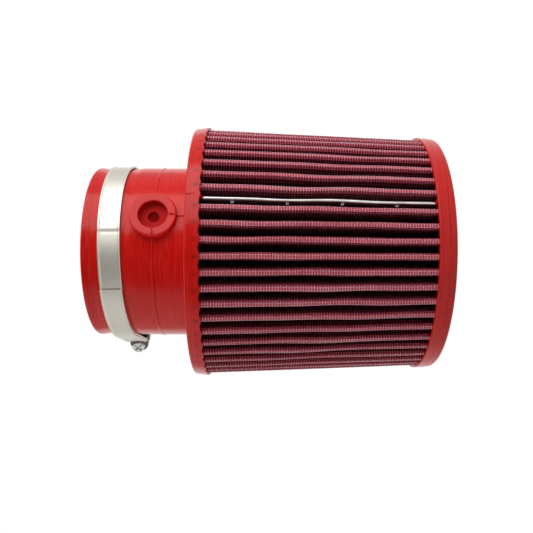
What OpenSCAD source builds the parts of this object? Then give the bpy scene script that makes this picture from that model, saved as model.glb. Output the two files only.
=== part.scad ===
// Clamp-on cone air filter. A pleated pack of oiled gauze between two wire meshes
// is cast into a soft neck at one end and a soft cap at the other.
// The filter stands on its cap: +Z runs along its axis to the open mouth, the origin is
// the middle of the cap's outer face, and -Y is the side with the port and the seam.

/* [Lengths along the axis] */
// Height of the end cap
cap_h = 9.3; // [7.5:0.1:14]
// Length of pleat that shows between the cap and the flange
pleat_h = 119.6; // [60:0.2:200]
// Height of the flange's band
flange_h = 8.1; // [7:0.1:14]
// Length of the neck from the flange to the mouth
neck_h = 57.5; // [54:0.5:90]
// Depth to which the pleats are cast into each end
pot_depth = 5; // [2:0.1:5.5]

/* [End cap] */
// Cover of rubber outside the pleat ridges, at the cap
cap_cover = 1.25; // [0.8:0.05:3]
// Rounding between the cap's side and its face
cap_round = 3.5; // [1:0.1:5]
// How far the lip beside the pleats stands out
cap_lip = 0.25; // [0.1:0.05:0.6]
// Height of that lip
cap_lip_h = 1.3; // [0.8:0.1:2]
// Thickness of the cap inside the pack
cap_web = 5; // [3:0.1:7]

/* [Flange and neck] */
// Cover of rubber outside the pleat ridges, at the flange's lip
flange_cover = 1.15; // [0.9:0.05:3]
// How much narrower the flange's back edge is than its lip
flange_draft = 0.8; // [0.3:0.1:1.2]
// Height of the flange's lip
flange_lip_h = 1.3; // [0.8:0.1:2]
// Bevel at the flange's back edge
flange_bevel = 0.7; // [0.3:0.1:1.5]
// Outer radius of the neck
neck_r = 49.7; // [49.2:0.1:52]
// Thickness of the neck's wall
neck_wall = 5.2; // [4.4:0.1:7]
// Fillet where the neck meets the flange
neck_fillet = 1; // [0.5:0.1:3]
// Depth of the clamp's seat in the neck
seat_depth = 0.5; // [0.3:0.1:1.2]
// Length of that seat
seat_w = 18; // [17:0.5:20]
// Length of the slope at each end of the seat
seat_slope = 3; // [1:0.5:4]
// Length of the bead beyond the seat, at the mouth
bead_w = 5.2; // [5:0.1:8]
// Rounding of the mouth's rim
rim_round = 2.2; // [1:0.1:2.4]
// How far the parting ring stands out of the neck
parting_h = 0.35; // [0.2:0.05:0.8]
// Width of the parting ring
parting_w = 1.2; // [0.8:0.1:2.4]
// Distance from the flange's back to the middle of the port
port_z = 19.3; // [16:0.1:20]

/* [Port] */
// Direction of the port, turned from -Y towards +X
port_turn = 21.3; // [0:0.1:60]
// Radius of the port's boss
boss_r = 12.7; // [10:0.1:13]
// How far the boss's face stands out of the neck
boss_h = 2.6; // [2.5:0.1:8]
// Rounding of the boss's edge
boss_round = 1; // [0.4:0.1:1.2]
// Radius of the recess in the boss
recess_r = 7.75; // [5:0.05:9]
// Depth of the recess
recess_depth = 4; // [1:0.1:4.5]
// Radius of the port's hole
port_r = 3.1; // [1.5:0.05:4]

/* [Pleated pack] */
// Number of pleats
pleats = 53; // [30:1:53]
// Radius of the ridges at the flange
ridge_r = 72.15; // [71:0.05:85]
// How much smaller that radius is at the cap
taper = 5.1; // [0:0.05:8]
// Depth of the pleats at the flange
pleat_depth = 22.35; // [21:0.05:22.6]
// Rounding of a ridge, outside
ridge_round = 1.8; // [1.7:0.05:1.9]
// Rounding of a valley, outside
valley_round = 0.4; // [0.3:0.05:0.5]
// Thickness of each wire mesh
mesh_t = 0.3; // [0.2:0.01:0.32]
// Thickness of the gauze
gauze_t = 0.8; // [0.5:0.01:0.84]
// Gap between two layers
layer_gap = 0.05; // [0.03:0.01:0.06]
// Clearance of the pack in the rubber
pot_gap = 0.2; // [0.15:0.01:0.25]

/* [Seam] */
// Direction of the seam, turned from -Y towards +X
seam_turn = 21.9; // [10:0.1:40]
// Lean of the squeezed ends towards -Y
seam_lean = 0.4; // [0:0.1:0.6]
// Angle between the two ridges beside the seam
seam_gap = 9.4; // [9.4:0.1:12]
// How far the seam strip's fold lies below the ridges
strip_sink = 1.15; // [0.65:0.05:3]
// Depth of the seam strip
strip_depth = 3.8; // [3:0.1:7]
// Thickness of the strip's sheet
strip_t = 0.3; // [0.2:0.05:0.4]
// How much the pack is squeezed inside the strip
squeeze = 0.45; // [0.4:0.01:0.5]
// Distance from the cap to the first staple
staple_low = 20.2; // [4:0.2:25]
// Distance from the last staple to the flange
staple_high = 15.4; // [4:0.2:25]
// Number of staples
staples = 4; // [2:1:4]
// Length of a staple's crown
staple_w = 2.4; // [2:0.1:4]
// Distance from the strip's edge to a staple's crown
staple_edge = 0.7; // [0.5:0.1:1]
// Thickness of the staple wire
staple_d = 0.7; // [0.5:0.05:0.8]

/* [Hose clamp] */
// Width of the band
band_w = 12; // [9:0.1:13]
// Thickness of the band
band_t = 0.7; // [0.5:0.05:0.9]
// Width of the raised edge on each side of the band
edge_w = 0.9; // [0.6:0.1:1.4]
// How far the raised edges stand above the band
edge_h = 0.4; // [0.2:0.05:0.6]
// Clearance between the band and its seat
band_gap = 0.3; // [0.25:0.05:0.5]
// How far the band stands off its seat below the housing
band_lift = 8; // [2.5:0.1:9]
// Bend radius of the band beside the housing
band_bend = 8; // [6:0.5:16]
// Direction of the housing, turned from -Y towards +X
clamp_turn = -120; // [-180:0.5:-90]
// Angle from the housing to the end of the tail
tail_turn = 95; // [60:0.5:150]
// Lean of the clamp on the neck, about X
lean_x = -0.3; // [-0.5:0.1:0.5]
// Lean of the clamp on the neck, about Y
lean_y = -1.4; // [-1.5:0.1:1.5]
// Distance from the mouth's rim to the middle of the band
band_z = 15.5; // [14.2:0.1:15.8]
// Distance between the slots that the worm drives
slot_step = 2.5; // [2:0.1:3]
// Width of a slot along the band
slot_w = 1.1; // [0.8:0.1:1.4]
// Length of a slot across the band
slot_len = 7.5; // [6:0.1:8]

/* [Clamp housing and screw] */
// Length of the housing
housing_l = 15; // [13:0.1:18]
// Thickness of the housing's sheet
sheet_t = 0.9; // [0.7:0.05:1.2]
// Thickness of the saddle
saddle_t = 0.9; // [0.6:0.05:1.2]
// How far the saddle reaches past the housing at each end
saddle_end = 2; // [1:0.1:3]
// Core radius of the worm
worm_r = 4.1; // [3.8:0.05:4.5]
// Height of the worm's thread above its core
thread_h = 0.6; // [0.4:0.05:0.7]
// Radius of the screw's journals
journal_r = 2.6; // [2:0.05:3]
// Running clearance of the journals
run_gap = 0.08; // [0.04:0.01:0.1]
// Width of the screw's head across its flats
head_af = 7; // [6:0.1:7.2]
// Height of the screw's head
head_h = 4.6; // [3:0.1:6]
// Bevel round the head's tip
head_bevel = 0.15; // [0.05:0.05:0.4]
// Width of the slots in the head
drive_w = 1.1; // [0.8:0.1:1.4]
// Depth of the slots in the head
drive_depth = 1.6; // [1:0.1:2.5]
// Length of the slots in the head
drive_l = 5.6; // [4:0.1:5.8]
// Turn of the slots from the band's width
drive_turn = 45; // [0:1:89]
// Play of the screw along its axis
end_play = 0.15; // [0.05:0.05:0.3]
// Clearance between pieces of the clamp
clamp_gap = 0.1; // [0.05:0.01:0.15]

/* [Hidden] */
$fn = 64;
eps = 0.01;

rubber = [0.78, 0.12, 0.1];
front = -90;

// Heights of the filter's sections
flange_z = cap_h + pleat_h;
flange_top = flange_z + flange_h;
mouth_z = flange_top + neck_h;
pack_z = cap_h - pot_depth;
pack_top = flange_z + pot_depth;

// Radii that follow from the ridges and the neck
ridge_r_cap = ridge_r - taper;
fold_r = ridge_r - pleat_depth;
strip_r = ridge_r - strip_sink;
bore_r = neck_r - neck_wall;

// The pack is a cone: its size at each height is a share of its size at the flange's lip
function pack_scale(z) =
    (ridge_r_cap + (ridge_r - ridge_r_cap) * (z - cap_h) / pleat_h) / ridge_r;
function polar(r, a) = [r * cos(a), r * sin(a)];

// Depths of the layers' faces below the outside of the pack
outer_in = mesh_t;
gauze_out = outer_in + layer_gap;
gauze_in = gauze_out + gauze_t;
inner_out = gauze_in + layer_gap;
pack_t = inner_out + mesh_t;

// Centres that the ridges and the valleys are rounded about
ridge_c = ridge_r - ridge_round;
valley_c = fold_r + pack_t + valley_round;
seam_a = front + seam_turn;
fin_a = seam_a - seam_lean;
ridge_step = (360 - seam_gap) / (pleats - 1);
function ridge_a(i) = seam_a + seam_gap / 2 + i * ridge_step;
function valley_a(i) =
    i == 0 ? seam_a + seam_gap / 4 : i == pleats ? seam_a - seam_gap / 4 : ridge_a(i - 0.5);

// Half width of the pack's face at depth d where both ends are squeezed in the seam strip,
// and the strip itself: a sheet folded round those ends
function fin_half(d) = max(layer_gap / 2, layer_gap + (pack_t - d) * squeeze);
strip_in = fin_half(0) + layer_gap;
strip_half = strip_in + strip_t;
fin_end = strip_r - strip_half;
fin_root = strip_r - strip_depth;

// Direction of a leg's outward normal, between a ridge of radius a at p and a valley of
// radius b at q; side is 1 for the leg after the ridge and -1 for the leg before it
function leg_normal(p, a, q, b, side) =
    atan2((q - p).y, (q - p).x) - side * acos((a + b) / norm(q - p));
// The same angle brought within half a turn of ref
function near_angle(a, ref) = a - 360 * round((a - ref) / 360);

function ridge_p(i) = polar(ridge_c, ridge_a(i));
function valley_p(i) = polar(valley_c, valley_a(i));
function ridge_leg(i, side) =
    near_angle(
        leg_normal(
            ridge_p(i), ridge_round, valley_p(side > 0 ? i + 1 : i), valley_round, side
        ),
        ridge_a(i)
    );
function fin_leg(d, side) =
    near_angle(
        leg_normal(
            polar(fin_root, fin_a), fin_half(d), valley_p(side > 0 ? 0 : pleats),
            valley_round + d, side
        ),
        side > 0 ? fin_a : fin_a + 360
    );

// Round stretch about c from direction a to b; a negative r is the hollow side
function bow(c, r, a, b, steps) = [for (k = [0:steps]) c + polar(r, a + (b - a) * k / steps)];
function fin_side(d, side, r) = polar(r, fin_a) + polar(fin_half(d), fin_a + side * 90);

// One face of the pack at depth d, from the valley on one side of the seam round to the other
function pleat_face(d, ridge_steps, valley_steps) =
    let (hollow = -(valley_round + d), ridge = ridge_round - d, last = pleats - 1)
    concat(
        bow(valley_p(0), hollow, fin_leg(d, 1), ridge_leg(0, -1), valley_steps),
        [for (i = [0:last]) each concat(
            bow(ridge_p(i), ridge, ridge_leg(i, -1), ridge_leg(i, 1), ridge_steps),
            bow(valley_p(i + 1), hollow, ridge_leg(i, 1),
                i < last ? ridge_leg(i + 1, -1) : fin_leg(d, -1), valley_steps)
        )]
    );
// The same face with both its ends run out into the seam strip
function pack_face(d, ridge_steps, valley_steps) =
    concat(
        [fin_side(d, 1, fin_end), fin_side(d, 1, fin_root)],
        pleat_face(d, ridge_steps, valley_steps),
        [fin_side(d, -1, fin_root), fin_side(d, -1, fin_end)]
    );
function backwards(p) = [for (i = [len(p) - 1:-1:0]) p[i]];
function sized(p, k) = [for (q = p) k * q];

// A coned layer of the pack, drawn in plan at the size of the flange's lip
module coned() {
    translate([0, 0, pack_z])
        linear_extrude(height = pack_top - pack_z, scale = pack_scale(pack_top) / pack_scale(pack_z))
            scale(pack_scale(pack_z))
                children();
}
module layer(outside, inside) {
    coned() polygon(concat(outside, backwards(inside)));
}

// The space that the pack and its seam strip take up in the rubber
module pack_pocket(z, h) {
    k = pack_scale(z + h / 2);
    outside = concat(
        pleat_face(-pot_gap, 4, 2),
        [for (p = strip_outline(pot_gap)) polar(p.x, fin_a) + polar(p.y, fin_a + 90)]
    );
    inside = pleat_face(pack_t + pot_gap, 2, 4);
    first = len(outside);
    translate([0, 0, z])
        linear_extrude(height = h)
            polygon(
                sized(concat(outside, inside), k),
                [[for (i = [0:first - 1]) i], [for (i = [0:len(inside) - 1]) first + i]]
            );
}

module cotton_gauze() {
    color("maroon")
        layer(pack_face(gauze_out, 4, 3), pack_face(gauze_in, 3, 4));
}

module outer_mesh() {
    color("rosybrown")
        layer(pack_face(0, 4, 2), pack_face(outer_in, 4, 3));
}

module inner_mesh() {
    color("darkgray")
        layer(pack_face(inner_out, 3, 4), pack_face(pack_t, 2, 4));
}

// Outside of the seam strip, grown on all sides
function strip_outline(grow) =
    let (half = strip_half + grow, back = fin_root - grow)
    concat([[back, -half]], bow([fin_end, 0], half, -90, 90, 8), [[back, half]]);

module seam_strip() {
    color("gainsboro")
        coned()
            rotate(fin_a)
                polygon(concat(
                    strip_outline(0), [[fin_root, strip_in]],
                    bow([fin_end, 0], strip_in, 90, -90, 6), [[fin_root, -strip_in]]
                ));
}

// Staple: a wire loop through the strip near its edge, with a crown on each flank
module staple() {
    r = staple_d / 2;
    side = strip_half + r;
    for (s = [-1, 1]) {
        translate([fin_root + staple_edge, s * side, 0])
            cylinder(h = staple_w, r = r, center = true);
        translate([fin_root + staple_edge, 0, s * staple_w / 2]) {
            rotate([90, 0, 0])
                cylinder(h = 2 * side, r = r, center = true);
            for (e = [-1, 1])
                translate([0, e * side, 0])
                    sphere(r = r);
        }
    }
}

staple_step = (pleat_h - staple_low - staple_high) / (staples - 1);
module seam_staples() {
    color("silver")
        for (i = [0:staples - 1])
            let (z = cap_h + staple_low + i * staple_step)
                translate([0, 0, z])
                    rotate([0, 0, fin_a])
                        scale(pack_scale(z))
                            staple();
}

// End cap: a soft moulding with the pleats cast into it
cap_r = ridge_r_cap + cap_cover;
module end_cap() {
    side = cap_r - cap_lip;
    inner = fold_r * pack_scale(pack_z) - cap_cover;
    color(rubber)
        difference() {
            rotate_extrude($fn = 128)
                polygon(concat(
                    [[0, 0]],
                    bow([side - cap_round, cap_round], cap_round, -90, 0, 8),
                    [[side, cap_h - cap_lip_h], [cap_r, cap_h - cap_lip_h + cap_lip], [cap_r, cap_h],
                        [inner, cap_h], [inner, cap_web], [0, cap_web]]
                ));
            pack_pocket(pack_z, pot_depth + eps);
        }
}

// Neck: bore, flange, clamp seat, bead and rounded mouth, as one profile
flange_r = ridge_r + flange_cover;
boss_face = neck_r + boss_h;
seat_r = neck_r - seat_depth;
seat_top = mouth_z - bead_w;
seat_low = seat_top - seat_w;
module neck_profile() {
    back_r = flange_r - flange_draft;
    parting = flange_top + port_z;
    polygon(concat(
        bow([bore_r + rim_round, flange_z + rim_round], rim_round, 180, 270, 6),
        [[flange_r, flange_z], [flange_r, flange_z + flange_lip_h],
            [back_r, flange_top - flange_bevel], [back_r - flange_bevel, flange_top]],
        bow([neck_r + neck_fillet, flange_top + neck_fillet], neck_fillet, -90, -180, 5),
        [[neck_r, parting - parting_w / 2], [neck_r + parting_h, parting - parting_w / 4],
            [neck_r + parting_h, parting + parting_w / 4], [neck_r, parting + parting_w / 2],
            [neck_r, seat_low - seat_slope], [seat_r, seat_low],
            [seat_r, seat_top]],
        bow([neck_r - rim_round, mouth_z - rim_round], rim_round, 0, 90, 6),
        [[bore_r + rim_round / 2, mouth_z], [bore_r, mouth_z - rim_round / 2]]
    ));
}

module along_port() {
    translate([0, 0, flange_top + port_z])
        rotate([0, 0, front + port_turn])
            rotate([0, 90, 0])
                children();
}

module neck_flange() {
    boss_base = sqrt(pow((bore_r + neck_r) / 2, 2) - pow(boss_r, 2));
    color(rubber)
        difference() {
            union() {
                rotate_extrude($fn = 128)
                    neck_profile();
                along_port()
                    rotate_extrude()
                        polygon(concat(
                            [[0, boss_base], [boss_r, boss_base]],
                            bow([boss_r - boss_round, boss_face - boss_round], boss_round, 0, 90, 5),
                            [[0, boss_face]]
                        ));
            }
            along_port() {
                cylinder(h = boss_face + eps, r = port_r);
                translate([0, 0, boss_face - recess_depth])
                    cylinder(h = recess_depth + eps, r = recess_r);
            }
            pack_pocket(flange_z - eps, pot_depth + eps);
        }
}

// The clamp is drawn level: its housing is at +Y, its screw's head at -X, and the band
// runs from its fixed end under the housing round to the tail above it
seat_band_r = seat_r + band_gap;
nest = band_t + edge_h + clamp_gap;
half_l = housing_l / 2;
flat_y = seat_r + band_lift;
bend_y = flat_y - band_bend;
tail_y = flat_y + nest;
tail_bend = band_bend + nest;
tail_top = tail_y + band_t;
axis_y = tail_top + clamp_gap + worm_r;

module clamp_place() {
    translate([0, 0, mouth_z - band_z])
        rotate([lean_x, lean_y, 0])
            rotate([0, 0, front + clamp_turn - 90])
                children();
}

// Angle from the housing at which a band of inner radius r leaves its round stretch,
// where bend is its inner radius beside the housing
function leave(r, bend) = atan2(half_l, bend_y) + acos((r - bend) / norm([half_l, bend_y]));
// One face of the band, at height h above its inner face, from the fixed end to the tail
function band_face(h) =
    let (first = leave(seat_band_r, band_bend), last = leave(seat_band_r, tail_bend))
    concat(
        [[half_l - saddle_end, flat_y + h]],
        bow([-half_l, bend_y], band_bend + h, 90, 90 + first, 5),
        bow([0, 0], seat_band_r + h, 90 + first, 450 - last, 72),
        bow([half_l, bend_y], tail_bend + h, 450 - last, 450, 5),
        bow([-half_l, bend_y], tail_bend + h, 450, 450 + first, 5),
        bow([0, 0], seat_band_r + nest + h, 450 + first, 450 + tail_turn, 14)
    );
module band_strip(height, z, width) {
    translate([0, 0, z])
        linear_extrude(height = width)
            polygon(concat(band_face(0), backwards(band_face(height))));
}

// Slots across the band for the worm, through the housing and round the bend behind it
module band_slots() {
    size = [slot_w, 3 * band_t, slot_len];
    reach = floor((housing_l - slot_w) / slot_step / 2);
    turn = slot_step / tail_bend * 180 / PI;
    for (i = [-reach:reach])
        translate([i * slot_step, tail_y + band_t / 2, 0])
            cube(size, center = true);
    translate([half_l, bend_y, 0])
        for (i = [1:floor(leave(seat_band_r, tail_bend) / turn)])
            rotate([0, 0, -i * turn])
                translate([0, tail_bend + band_t / 2, 0])
                    cube(size, center = true);
}

module clamp_band() {
    color("gainsboro")
        clamp_place()
            difference() {
                union() {
                    band_strip(band_t, edge_w - band_w / 2, band_w - 2 * edge_w);
                    for (z = [-band_w / 2, band_w / 2 - edge_w])
                        band_strip(band_t + edge_h, z, edge_w);
                }
                band_slots();
            }
}

// One face of the saddle, at height h above its low face
function saddle_face(h) =
    let (r = band_bend - clamp_gap - saddle_t + h, end_turn = saddle_end / band_bend * 180 / PI)
    concat(
        bow([half_l, bend_y], r, 90 - end_turn, 90, 3),
        bow([-half_l, bend_y], r, 90, 90 + end_turn, 3)
    );

// Saddle: a plate under the band, bent down a little past both ends of the housing
module clamp_saddle() {
    color("silver")
        clamp_place()
            translate([0, 0, -band_w / 2])
                linear_extrude(height = band_w)
                    polygon(concat(saddle_face(0), backwards(saddle_face(saddle_t))));
}

// Housing: a sheet folded over the screw, down the band's sides and under the saddle
arch_r = worm_r + thread_h + 2 * clamp_gap;
module housing_section() {
    foot = flat_y - saddle_t - 2 * clamp_gap;
    side = band_w / 2 + clamp_gap;
    toe = side - 3 * sheet_t;
    shoulder = tail_top + edge_h + clamp_gap;
    out = arch_r + sheet_t;
    polygon(concat(
        [[foot - sheet_t, toe], [foot - sheet_t, side + sheet_t],
            [shoulder + sheet_t, side + sheet_t], [shoulder + sheet_t, out]],
        bow([axis_y, 0], out, 90, -90, 12),
        [[shoulder + sheet_t, -out], [shoulder + sheet_t, -side - sheet_t],
            [foot - sheet_t, -side - sheet_t], [foot - sheet_t, -toe], [foot, -toe],
            [foot, -side], [shoulder, -side], [shoulder, -arch_r]],
        bow([axis_y, 0], arch_r, -90, 90, 12),
        [[shoulder, arch_r], [shoulder, side], [foot, side], [foot, toe]]
    ));
}
// Wall that closes the housing's arch at one end, with its low edge just over the tail
module housing_wall() {
    low = tail_top + clamp_gap;
    step = low + edge_h + sheet_t / 2;
    narrow = arch_r - 2 * clamp_gap;
    wide = arch_r + sheet_t / 2;
    polygon(concat(
        [[low, narrow], [step, narrow], [step, wide]],
        bow([axis_y, 0], wide, 90, -90, 12),
        [[step, -wide], [step, -narrow], [low, -narrow]]
    ));
}

// The section below it, run along the band from x
module along_band(x, length) {
    translate([x, 0, 0])
        rotate([90, 0, 90])
            linear_extrude(height = length)
                children();
}
module along_screw(x) {
    translate([x, axis_y, 0])
        rotate([0, 90, 0])
            children();
}

module clamp_housing() {
    color("gainsboro")
        clamp_place()
            difference() {
                union() {
                    along_band(-half_l, housing_l)
                        housing_section();
                    for (x = [-half_l, half_l - sheet_t])
                        along_band(x, sheet_t)
                            housing_wall();
                }
                along_screw(-half_l - eps)
                    cylinder(h = housing_l + 2 * eps, r = journal_r + run_gap);
            }
}

// Screw: worm, journals in the housing's end walls, and a head with crossed slots
module clamp_screw() {
    worm_l = housing_l - 2 * sheet_t - 2 * end_play;
    tip_r = head_af / 2 - head_bevel;
    color("whitesmoke")
        clamp_place()
            along_screw(-half_l - end_play) {
                translate([0, 0, sheet_t + 2 * end_play])
                    cylinder(h = worm_l, r = worm_r);
                translate([0, 0, -eps])
                    cylinder(h = housing_l + 4 * end_play + eps, r = journal_r);
                translate([0, 0, -head_h])
                    difference() {
                        intersection() {
                            cylinder(h = head_h, r = head_af / sqrt(3), $fn = 6);
                            cylinder(h = 2 * head_h, r1 = tip_r, r2 = tip_r + 2 * head_h);
                        }
                        for (a = [0, 90])
                            rotate([0, 0, drive_turn + a])
                                cube([drive_w, drive_l, 2 * drive_depth], center = true);
                    }
            }
}

neck_flange();
end_cap();
cotton_gauze();
outer_mesh();
inner_mesh();
seam_strip();
seam_staples();
clamp_band();
clamp_saddle();
clamp_housing();
clamp_screw();
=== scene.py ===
"""Looks of a clamp-on cone air filter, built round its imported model.

Geometry is worked out in millimetres, in the model's own frame: +Z runs from the cap to the
open mouth. Meshes are stored in metres. Angles of places round the axis start at -Y and turn
towards +X, as the part's own source has them.
"""
import math

import bmesh
import bpy
import numpy as np
from mathutils import Matrix, Vector


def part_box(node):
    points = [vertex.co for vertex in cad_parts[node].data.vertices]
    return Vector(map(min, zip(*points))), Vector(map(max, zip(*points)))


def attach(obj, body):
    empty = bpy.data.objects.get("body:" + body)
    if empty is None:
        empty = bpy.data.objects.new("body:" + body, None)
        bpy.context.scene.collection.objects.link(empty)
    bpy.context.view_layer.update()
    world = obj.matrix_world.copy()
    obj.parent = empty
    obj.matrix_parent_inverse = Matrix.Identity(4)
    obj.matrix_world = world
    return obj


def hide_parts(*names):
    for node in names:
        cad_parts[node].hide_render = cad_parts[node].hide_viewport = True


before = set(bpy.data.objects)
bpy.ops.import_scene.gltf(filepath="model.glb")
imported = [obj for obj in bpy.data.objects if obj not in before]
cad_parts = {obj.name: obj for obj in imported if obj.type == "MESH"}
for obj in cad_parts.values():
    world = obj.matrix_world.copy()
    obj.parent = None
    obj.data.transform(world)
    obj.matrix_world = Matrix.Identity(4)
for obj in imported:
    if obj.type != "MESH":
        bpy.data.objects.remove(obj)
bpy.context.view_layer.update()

MM = 0.001
rng = np.random.default_rng(7)


def corner(node, high, axis):
    """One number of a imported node's box, in millimetres."""
    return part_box(node)[high][axis] / MM


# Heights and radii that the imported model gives
CAP_H = corner("end_cap", 1, 2)
CAP_R = corner("end_cap", 1, 0)
FLANGE_Z = corner("neck_flange", 0, 2)
FLANGE_R = corner("neck_flange", 1, 0)
MOUTH_Z = corner("neck_flange", 1, 2)
PACK_Z = corner("cotton_gauze", 0, 2)
PACK_TOP = corner("cotton_gauze", 1, 2)

# Cap and neck
CAP_ROUND = 3.5
CAP_LIP = 0.25
CAP_LIP_H = 1.3
CAP_RIB = 0.4
CAP_WEB = 5
CAP_COVER = 1.25
FLANGE_TOP = FLANGE_Z + 8.1
FLANGE_LIP_H = 1.3
FLANGE_DRAFT = 0.8
FLANGE_BEVEL = 0.7
BORE_R = 44.5
NECK_R = 49.7
SEAT_DEPTH = 0.5
SEAT_W = 18
SEAT_SLOPE = 3
BEAD_W = 5.2
RIM_LINE = MOUTH_Z - 1.9
RIM_LINE_HALF = 0.35
RIM_ROUND = 2.2
PARTING_H = 0.35
PARTING_W = 1.2
# Bulges of rubber at the pleats' tips, along the flange's lower edge
SCALLOP = 0.9
SCALLOP_H = 1.2
SCALLOP_IN = 64
SCALLOP_REACH = 6
SCALLOP_RING = 66
FIN_BULGE = 1.6
# Where the ends of the pleats show faintly through the flange's band
TIP_Z = 2.9
TIP_REACH = 2.3

# Port
PORT_Z = FLANGE_TOP + 19.3
PORT_TURN = 21.3
BOSS_R = 12.7
BOSS_FACE = NECK_R + 2.6
RECESS_R = 7.75
RECESS_DEPTH = 4
RECESS_BEVEL = 0.5
PORT_R = 3.1

# Pleated pack
PLEATS = 53
RIDGE_R = 72.15
RIDGE_R_CAP = 67.05
FOLD_R = 49.8
RIDGE_ROUND = 1.8
VALLEY_ROUND = 0.4
MESH_T = 0.3
GAUZE_OUT = 0.35
GAUZE_IN = 1.15
PACK_T = 1.5
LAYER_GAP = 0.05
SQUEEZE = 0.3
SWAY = 0.14
SWELL = 0.1
SEAM_TURN = 21.9
SEAM_LEAN = 0.4
SEAM_GAP = 9.4
STRIP_R = 71
STRIP_DEPTH = 3.8
STRIP_HALF = 0.8
STRIP_T = 0.3
STRIP_SWAY = 0.12
# How much the strip is pressed in beside a staple, and how far along it that reaches
PINCH = 0.28
PINCH_H = 3.2
STAPLE_LOW = 20.2
STAPLE_HIGH = 15.4
STAPLES = 4
STAPLE_W = 1.1
STAPLE_R = 0.26
STAPLE_OUT = 1.0
STAPLE_EDGE = 1.5
STAPLE_BEND = 0.35

SEAM_A = math.radians(SEAM_TURN - 90)
FIN_A = math.radians(SEAM_TURN - SEAM_LEAN - 90)
GAP = math.radians(SEAM_GAP)
STEP = (2 * math.pi - GAP) / (PLEATS - 1)
TAPER = (RIDGE_R - RIDGE_R_CAP) / (FLANGE_Z - CAP_H)

# Wire meshes
WIRE_PITCH = 1.41
WIRE_R = 0.24
CRIMP = 0.13
INNER_PITCH = 3.2
INNER_WIRE_R = 0.24
# Wires over each ridge that the hoops are bent round, and wires on each leg
RIDGE_WIRES = 4
LEG_WIRES = 6
# Share of its crimp, the other way, that a hoop has beside a ridge's last wire
CRIMP_END = 0.6
# Steps round each valley and points on each side of the fin, in the outer mesh's path
VALLEY_STEPS = 3
FIN_POINTS = 2

# Hose clamp
BAND_Z = MOUTH_Z - 15.5
BAND_W = 12
BAND_T = 0.7
EDGE_H = 0.4
EDGE_W = 0.9
BAND_IN = 49.5
BAND_LIFT = 8
BAND_BEND = 8
NEST = 1.2
HOUSING_L = 15
HOUSING_T = 0.9
SADDLE_END = 2
CLAMP_GAP = 0.1
SEAT_R = NECK_R - SEAT_DEPTH
FLAT_Y = SEAT_R + BAND_LIFT
CLAMP_TURN = -120
TAIL_TURN = 95
# Soft crease where the band was bent round its own end
JOGGLE_TURN = 11
JOGGLE_STEP = 0.3
JOGGLE_CREASE = 0.25
LEAN_X = -0.3
LEAN_Y = -1.4
WORM_R = 4.1
THREAD_H = 0.55
THREAD_PITCH = 2.5
THREAD_SINK = 0.1
THREAD_GAP = 1.2
THREAD_STEPS = 28
WORM_Y = FLAT_Y + NEST + BAND_T + CLAMP_GAP + WORM_R

# Span of the ramp of painted highlight and shade below the ridges and its start above them,
# threads of the gauze, and metres of arc for a radian
RAMP_SPAN = 20
RAMP_LEAD = 1
WEAVE_PITCH = 0.45
ARC_R = 0.05


# Helpers for plane outlines, in millimetres


def polar(r, a):
    return np.array([r * math.cos(a), r * math.sin(a)])


def bow(c, r, a, b, steps):
    """Round stretch about c from direction a to b."""
    t = a + (b - a) * np.arange(steps + 1) / steps
    return np.asarray(c) + r * np.stack([np.cos(t), np.sin(t)], axis=1)


def rounded(corners, closed=True, steps=5):
    """An outline through corners (x, y, radius), each one rounded off by its own radius."""
    out = []
    n = len(corners)
    for i, (x, y, r) in enumerate(corners):
        p = np.array([x, y], float)
        if r == 0 or (not closed and i in (0, n - 1)):
            out.append([p])
            continue
        a = np.array(corners[i - 1][:2]) - p
        b = np.array(corners[(i + 1) % n][:2]) - p
        la, lb = np.linalg.norm(a), np.linalg.norm(b)
        a, b = a / la, b / lb
        half = math.acos(np.clip(a @ b, -1, 1)) / 2
        cut = min(r / math.tan(half), 0.45 * la, 0.45 * lb)
        start, end = p + a * cut, p + b * cut
        centre = p + (a + b) / np.linalg.norm(a + b) * cut / math.cos(half)
        r = np.linalg.norm(start - centre)
        t0 = math.atan2(*(start - centre)[::-1])
        t1 = math.atan2(*(end - centre)[::-1])
        t1 += 2 * math.pi * round((t0 - t1) / (2 * math.pi))
        out.append([p + a * min(1.4 * cut, 0.49 * la)])
        out.append(bow(centre, r, t0, t1, steps))
        out.append([p + b * min(1.4 * cut, 0.49 * lb)])
    return np.concatenate(out)


# Helpers for meshes


def add_mesh(name, parts, body="filter"):
    """A smooth mesh object from (points in millimetres, faces) parts, riding on a body."""
    points, loops, starts, count, used = [], [], [], 0, 0
    for verts, faces in parts:
        verts = np.asarray(verts, float).reshape(-1, 3)
        faces = np.asarray(faces)
        points.append(verts)
        loops.append((faces + count).ravel())
        starts.append(used + np.arange(len(faces)) * faces.shape[1])
        count += len(verts)
        used += faces.size
    points = np.concatenate(points) * MM
    loops = np.concatenate(loops)
    starts = np.concatenate(starts)
    mesh = bpy.data.meshes.new(name)
    mesh.vertices.add(len(points))
    mesh.vertices.foreach_set("co", points.ravel())
    mesh.loops.add(len(loops))
    mesh.loops.foreach_set("vertex_index", loops.astype(np.int32))
    mesh.polygons.add(len(starts))
    mesh.polygons.foreach_set("loop_start", starts.astype(np.int32))
    mesh.polygons.foreach_set("use_smooth", np.ones(len(starts), bool))
    mesh.update(calc_edges=True)
    mesh.validate()
    obj = bpy.data.objects.new(name, mesh)
    bpy.context.collection.objects.link(obj)
    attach(obj, body)
    return obj


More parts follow.
